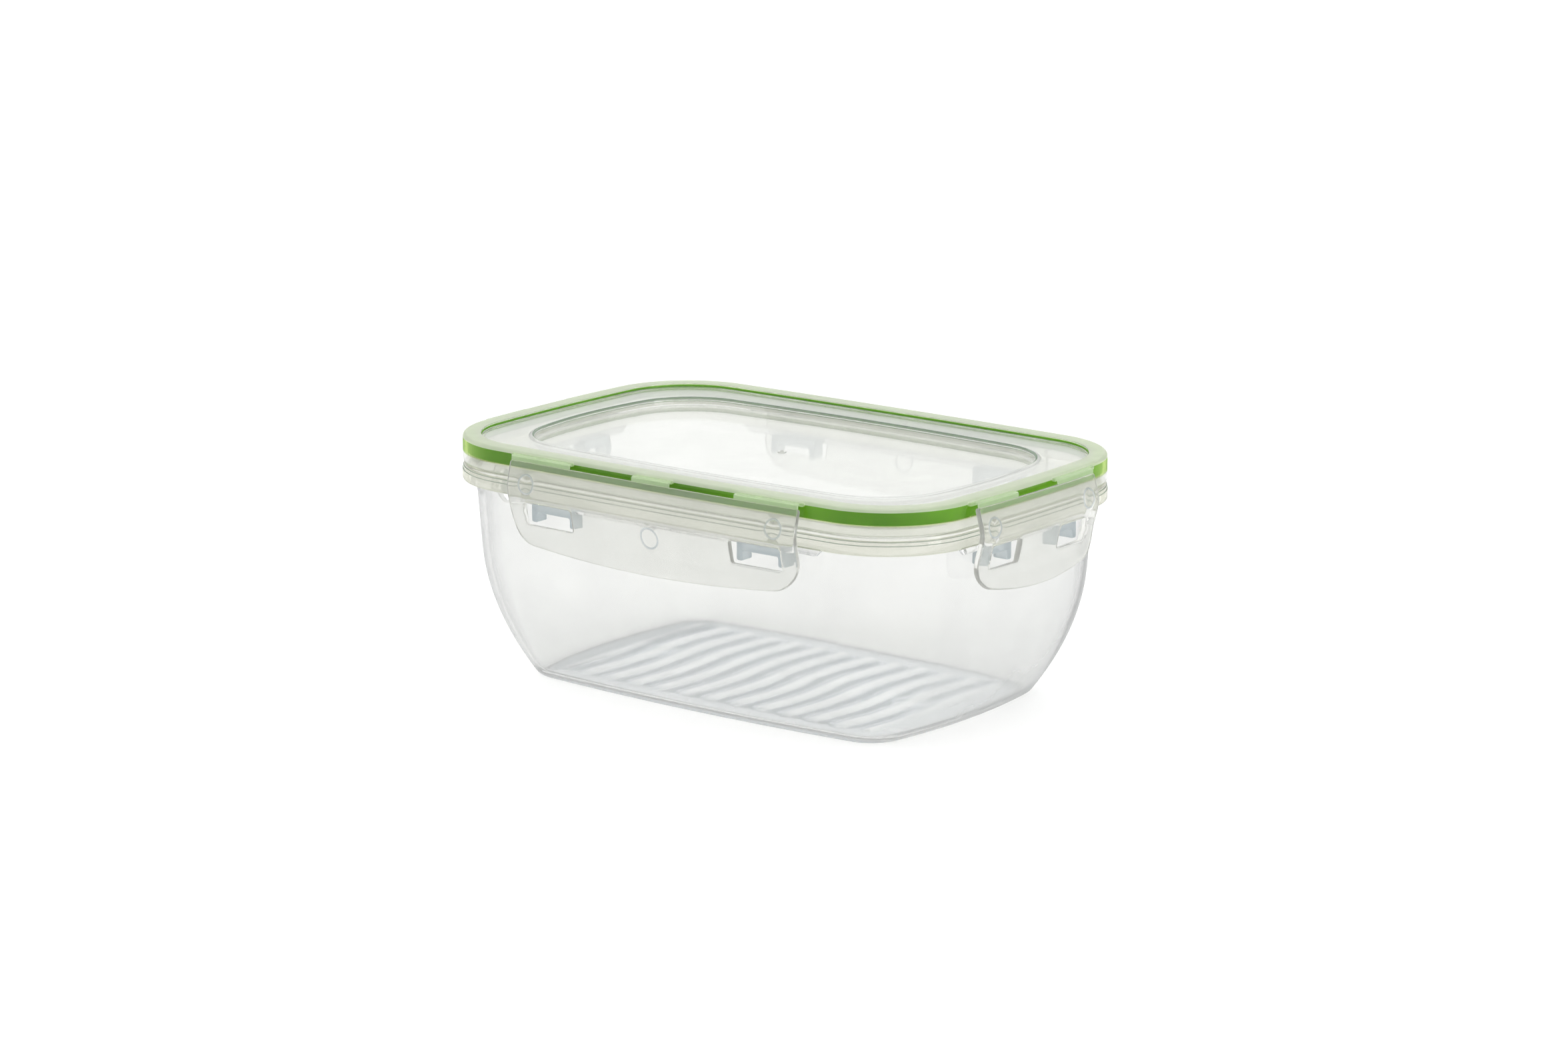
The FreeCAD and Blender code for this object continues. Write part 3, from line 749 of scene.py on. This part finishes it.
def build_hinge(side):
    """Thin film over each hinge line, from the lid's ledge down to the clip's top edge."""
    start, end = LEDGE_OUT - 0.3, CLIP_TOP - 0.3
    path = rounded([(start, FILM_TOP, 0.0), (FILM_OUT, FILM_TOP, 0.7), (FILM_OUT, end, 0.0)],
                   closed=False, steps=8)
    below = rounded([(start, FILM_TOP - FILM, 0.0), (FILM_OUT - FILM, FILM_TOP - FILM, 0.35),
                     (FILM_OUT - FILM, end, 0.0)], closed=False, steps=8)
    section = [tuple(p) for p in path] + [tuple(p) for p in below[::-1]]
    half = side.clip_half
    return new_object(side.name + "_hinge_film", *joined(
        [strip_block(side, max(a, 0.3 - half), min(b, half - 0.3), section) for a, b in side.strips]))


# ======================= materials =======================

PLASTIC_IOR = 1.38
EDGE_POWER = 2.5                  # how closely the extra milkiness keeps to surfaces seen edge-on


def new_material(name):
    material = bpy.data.materials.new(name)
    material.use_nodes = True
    material.node_tree.nodes.clear()
    return material, material.node_tree


def node(tree, kind, inputs=None, **settings):
    made = tree.nodes.new(kind)
    for key, value in settings.items():
        setattr(made, key, value)
    for key, value in (inputs or {}).items():
        if isinstance(value, bpy.types.NodeSocket):
            tree.links.new(value, made.inputs[key])
        else:
            made.inputs[key].default_value = value
    return made


def noise(tree, scale, detail=3.0, stretch=(1.0, 1.0, 1.0)):
    place = node(tree, "ShaderNodeTexCoord").outputs["Object"]
    mapping = node(tree, "ShaderNodeMapping", {"Vector": place, "Scale": stretch})
    made = node(tree, "ShaderNodeTexNoise", {"Vector": mapping.outputs["Vector"], "Scale": scale,
                                             "Detail": detail})
    return made.outputs["Fac"]


def remap(tree, value, low, high, to_low, to_high):
    made = node(tree, "ShaderNodeMapRange", {"Value": value, "From Min": low, "From Max": high,
                                             "To Min": to_low, "To Max": to_high})
    return made.outputs["Result"]


def maths(tree, operation, *values):
    return node(tree, "ShaderNodeMath", dict(enumerate(values)), operation=operation).outputs[0]


def rib_wave(tree):
    """1 on the ridges of the tub's floor ribs, 0 in the grooves, and between them round the ribbed field; it
    places the painted shade of the grooves.
    """
    place = node(tree, "ShaderNodeTexCoord").outputs["Object"]
    split = node(tree, "ShaderNodeSeparateXYZ", {"Vector": place})
    turn = maths(tree, "MULTIPLY", split.outputs["Y"], 1.0 / (SWAY_LENGTH * MM))
    sway = maths(tree, "MULTIPLY_ADD", maths(tree, "SINE", turn), SWAY * MM, split.outputs["X"])
    wave = maths(tree, "COSINE", maths(tree, "MULTIPLY", sway, math.tau / (RIB_PITCH * MM)))
    field = remap(tree, wave, -0.6, 0.7, 0.0, 1.0)
    for axis, size in (("X", RIB_FIELD_LENGTH), ("Y", RIB_FIELD_WIDTH)):
        away = maths(tree, "ABSOLUTE", split.outputs[axis])
        start, end = (size / 2.0 - RIB_FADE) * MM, size / 2.0 * MM
        within = remap(tree, away, start, end, 1.0, 0.0)
        plain = remap(tree, away, start, end, 0.0, 0.45)
        field = maths(tree, "MULTIPLY_ADD", field, within, plain)
    return field


def clear_plastic(name, tint, milk_tint, haze, edge_haze, roughness, groove_shade_tint=None):
    """Clear polypropylene: it refracts, and is a little milky, more so where it is seen edge-on."""
    material, tree = new_material(name)
    # a floor's grooves between its ribs get the darker milk colour: painted shade
    if groove_shade_tint:
        milk_tint = node(tree, "ShaderNodeMixRGB", {"Fac": rib_wave(tree), "Color1": groove_shade_tint,
                                                    "Color2": milk_tint}).outputs[0]
    fine = noise(tree, 900.0)
    ripple = noise(tree, 40.0, 2.0, (1.0, 1.0, 0.35))
    cloud = noise(tree, 45.0, 4.0)
    height = maths(tree, "ADD", remap(tree, fine, 0, 1, 0, 0.1), ripple)
    bump = node(tree, "ShaderNodeBump", {"Strength": 0.05, "Distance": 0.0006, "Height": height})
    normal = bump.outputs["Normal"]
    glass = node(tree, "ShaderNodeBsdfGlass", {"Color": tint, "Roughness": roughness, "IOR": PLASTIC_IOR,
                                               "Normal": normal})
    milk = node(tree, "ShaderNodeBsdfDiffuse", {"Color": milk_tint, "Normal": normal})
    glow = node(tree, "ShaderNodeBsdfTranslucent", {"Color": milk_tint, "Normal": normal})
    hazy = node(tree, "ShaderNodeMixShader", {0: 0.5, 1: milk.outputs[0], 2: glow.outputs[0]})
    facing = node(tree, "ShaderNodeLayerWeight", {"Blend": 0.5, "Normal": normal}).outputs["Facing"]
    amount = remap(tree, maths(tree, "POWER", facing, EDGE_POWER), 0.0, 1.0, haze, edge_haze)
    varied = maths(tree, "MULTIPLY", amount, remap(tree, cloud, 0.3, 0.7, 0.85, 1.15))
    body = node(tree, "ShaderNodeMixShader", {0: varied, 1: glass.outputs[0], 2: hazy.outputs[0]})
    # lamps shine through, as they do through clear plastic
    shadow = node(tree, "ShaderNodeLightPath").outputs["Is Shadow Ray"]
    through = node(tree, "ShaderNodeBsdfTransparent", {"Color": (0.985, 0.985, 0.985, 1)})
    surface = node(tree, "ShaderNodeMixShader", {0: shadow, 1: body.outputs[0], 2: through.outputs[0]})
    node(tree, "ShaderNodeOutputMaterial", {"Surface": surface.outputs[0]})
    return material


def silicone(name, color, deep):
    """Bright rubber whose green goes deeper at random, in patches, with a satin surface."""
    material, tree = new_material(name)
    cloud = noise(tree, 22.0, 4.0)
    tint = node(tree, "ShaderNodeMixRGB", {"Fac": remap(tree, cloud, 0.35, 0.65, 0.0, 1.0), "Color1": color,
                                           "Color2": deep})
    grain = noise(tree, 1400.0)
    bump = node(tree, "ShaderNodeBump", {"Strength": 0.08, "Distance": 0.0003, "Height": grain})
    surface = node(tree, "ShaderNodeBsdfPrincipled", {
        "Base Color": tint.outputs[0], "Roughness": 0.35, "Specular IOR Level": 0.15,
        "Normal": bump.outputs["Normal"],
        "Subsurface Weight": 0.25, "Subsurface Radius": (0.002, 0.004, 0.001), "Subsurface Scale": 1.0})
    node(tree, "ShaderNodeOutputMaterial", {"Surface": surface.outputs[0]})
    return material


def paper(name, color):
    material, tree = new_material(name)
    tint = remap(tree, noise(tree, 8.0), 0.3, 0.7, 0.99, 1.0)
    shade = node(tree, "ShaderNodeMixRGB", {"Fac": 1.0, "Color1": color, "Color2": tint},
                 blend_type="MULTIPLY")
    surface = node(tree, "ShaderNodeBsdfPrincipled", {"Base Color": shade.outputs[0], "Roughness": 0.9,
                                                      "Specular IOR Level": 0.1})
    node(tree, "ShaderNodeOutputMaterial", {"Surface": surface.outputs[0]})
    return material


# ======================= the container =======================

# name, tint, colour and amount of the milkiness, amount seen edge-on, surface roughness, and for the
# floor the darker colour of the milkiness in the grooves between its ribs, which is painted shade
tub_plastic = clear_plastic("clear_tub_plastic", (0.97, 0.97, 0.965, 1),
                            (0.50, 0.51, 0.51, 1), 0.11, 0.88, 0.05)
# the floor's grooves are painted darker and bluer than its ridges: painted shade
floor_groove_shade_plastic = clear_plastic("ribbed_floor_groove_shade_plastic", (0.965, 0.97, 0.975, 1),
                              (0.85, 0.86, 0.86, 1), 0.30, 0.45, 0.05, (0.40, 0.44, 0.49, 1))
# milkier plastic of the hooks, also used as painted shade in the round marks' grooves on the clips
hook_and_groove_shade_plastic = clear_plastic("milky_hook_and_groove_shade_plastic", (0.92, 0.93, 0.93, 1),
                             (0.50, 0.55, 0.57, 1), 0.50, 0.70, 0.12)
flange_plastic = clear_plastic("tub_flange_plastic", (0.97, 0.97, 0.94, 1),
                               (0.60, 0.61, 0.52, 1), 0.20, 0.50, 0.05)
# dark lines on the flange's small steps: painted shade
flange_step_shade_plastic = clear_plastic("painted_shade_flange_step_plastic", (0.72, 0.77, 0.72, 1),
                             (0.16, 0.22, 0.17, 1), 0.60, 0.75, 0.05)
lid_plastic = clear_plastic("clear_lid_plastic", (0.958, 0.961, 0.953, 1),
                            (0.66, 0.67, 0.64, 1), 0.10, 0.30, 0.03)
# grey band on the recess's wall: painted shade
recess_wall_shade_plastic = clear_plastic("painted_shade_recess_wall_plastic", (0.95, 0.955, 0.95, 1),
                             (0.50, 0.52, 0.50, 1), 0.16, 0.35, 0.04)
# green of the seal painted into the clear skirt: painted green light
seal_green_light_skirt_plastic = clear_plastic("green_lit_skirt_plastic", (0.94, 1.0, 0.72, 1),
                              (0.15, 0.36, 0.0, 1), 0.03, 1.0, 0.03)
rim_plastic = clear_plastic("milky_rim_plastic", (0.96, 0.97, 0.92, 1),
                            (0.75, 0.78, 0.67, 1), 0.74, 0.97, 0.05)
# dark line along the recess's edge: painted shade
recess_edge_shade_plastic = clear_plastic("painted_shade_recess_edge_plastic", (0.80, 0.86, 0.80, 1),
                             (0.20, 0.28, 0.20, 1), 0.50, 0.60, 0.05)
# dark green line on the rim's inner step: painted shade
rim_step_shade_plastic = clear_plastic("painted_shade_rim_step_plastic", (0.70, 0.90, 0.45, 1),
                             (0.12, 0.32, 0.02, 1), 0.55, 0.60, 0.05)
hinge_plastic = clear_plastic("hinge_film_plastic", (0.94, 0.97, 0.90, 1),
                              (0.56, 0.67, 0.47, 1), 0.40, 0.60, 0.06)
clip_plastic = clear_plastic("frosted_clip_plastic", (0.965, 0.967, 0.955, 1),
                             (0.61, 0.615, 0.59, 1), 0.14, 0.42, 0.08)
green = silicone("green_seal", (0.12, 0.32, 0.0, 1), (0.055, 0.20, 0.0, 1))


def add(obj, material, replaced):
    if not obj.data.materials:
        obj.data.materials.append(material)
    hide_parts(replaced)
    return obj


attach(add(build_tub(), tub_plastic, "tub"), "tub")
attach(add(build_lid(), lid_plastic, "lid"), "lid")
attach(add(build_gasket(), green, "gasket"), "lid")
for side in SIDES:
    clip_node = side.name + "_clip"
    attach(add(build_clip(side), clip_plastic, clip_node), clip_node)
    film = add(build_hinge(side), hinge_plastic, clip_node + "_hinges")
    side.at(0.0, LEDGE_OUT, FILM_TOP) * MM
    side.at(0.0, FILM_OUT, CLIP_TOP) * MM
    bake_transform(film)


# ======================= stage =======================

CAMERA_PLACE = (928.99, -1192.36, 412.08)
CAMERA_TARGET = (4.32, -4.52, 55.89)
LENS = 107.71
BRIGHTEST_WAY = (-0.25, 0.32, 0.91)
DIM_AT, BRIGHT_AT = -0.5, 0.8     # cosines from that way at which the world is dimmest and brightest


def add_floor():
    mesh = bpy.data.meshes.new("studio_floor")
    half = 6.0
    corners = [(-half, -half, 0), (half, -half, 0), (half, half, 0), (-half, half, 0)]
    mesh.from_pydata(corners, [], [(0, 1, 2, 3)])
    floor = bpy.data.objects.new("studio_floor", mesh)
    bpy.context.scene.collection.objects.link(floor)
    floor.data.materials.append(paper("studio_paper", (0.93, 0.93, 0.93, 1)))


def look_at(obj, target):
    obj.rotation_euler = (Vector(target) - obj.location).to_track_quat("-Z", "Y").to_euler()


def add_light(name, place, target, size, power):
    light = bpy.data.lights.new(name, "AREA")
    light.shape = "RECTANGLE"
    light.size, light.size_y = size
    light.energy = power
    obj = bpy.data.objects.new(name, light)
    obj.location = place
    bpy.context.scene.collection.objects.link(obj)
    look_at(obj, target)
    return obj


def add_world(dim, bright):
    """A white studio, brightest overhead and behind the container, dim behind the camera."""
    world = bpy.data.worlds.new("studio")
    world.use_nodes = True
    tree = world.node_tree
    tree.nodes.clear()
    direction = node(tree, "ShaderNodeTexCoord").outputs["Generated"]
    towards = node(tree, "ShaderNodeVectorMath", {0: direction, 1: BRIGHTEST_WAY}, operation="DOT_PRODUCT")
    strength = remap(tree, towards.outputs["Value"], DIM_AT, BRIGHT_AT, dim, bright)
    background = node(tree, "ShaderNodeBackground", {"Color": (1.0, 1.0, 1.0, 1), "Strength": strength})
    node(tree, "ShaderNodeOutputWorld", {"Surface": background.outputs[0]})
    bpy.context.scene.world = world


def add_camera():
    """A long lens at the container's front right, a little above it."""
    data = bpy.data.cameras.new("camera")
    data.sensor_fit = "HORIZONTAL"
    data.sensor_width = 36.0
    data.lens = LENS
    data.clip_end = 20.0
    camera = bpy.data.objects.new("camera", data)
    camera.location = Vector(CAMERA_PLACE) * MM
    bpy.context.scene.collection.objects.link(camera)
    look_at(camera, Vector(CAMERA_TARGET) * MM)
    bpy.context.scene.camera = camera


add_floor()
centre = (0.0, 0.0, 0.04)
add_light("top_softbox", (0.1, 0.3, 1.1), centre, (0.6, 0.5), 1.5)
add_light("left_softbox", (-1.1, -0.5, 0.6), centre, (0.4, 0.6), 1.0)
add_light("right_softbox", (1.0, -0.3, 0.5), centre, (0.35, 0.6), 1.0)
# the strip is seen only as a glint on glossy surfaces
strip = add_light("strip_softbox", (1.2, 0.0, 0.35), centre, (0.35, 0.9), 4.0)
strip.visible_diffuse = False
strip.visible_transmission = False
add_world(0.45, 1.4)
add_camera()
bpy.context.scene.view_settings.view_transform = "Standard"
bpy.context.scene.cycles.transparent_max_bounces = 40
bpy.context.scene.cycles.max_bounces = 24
bpy.context.scene.cycles.transmission_bounces = 24
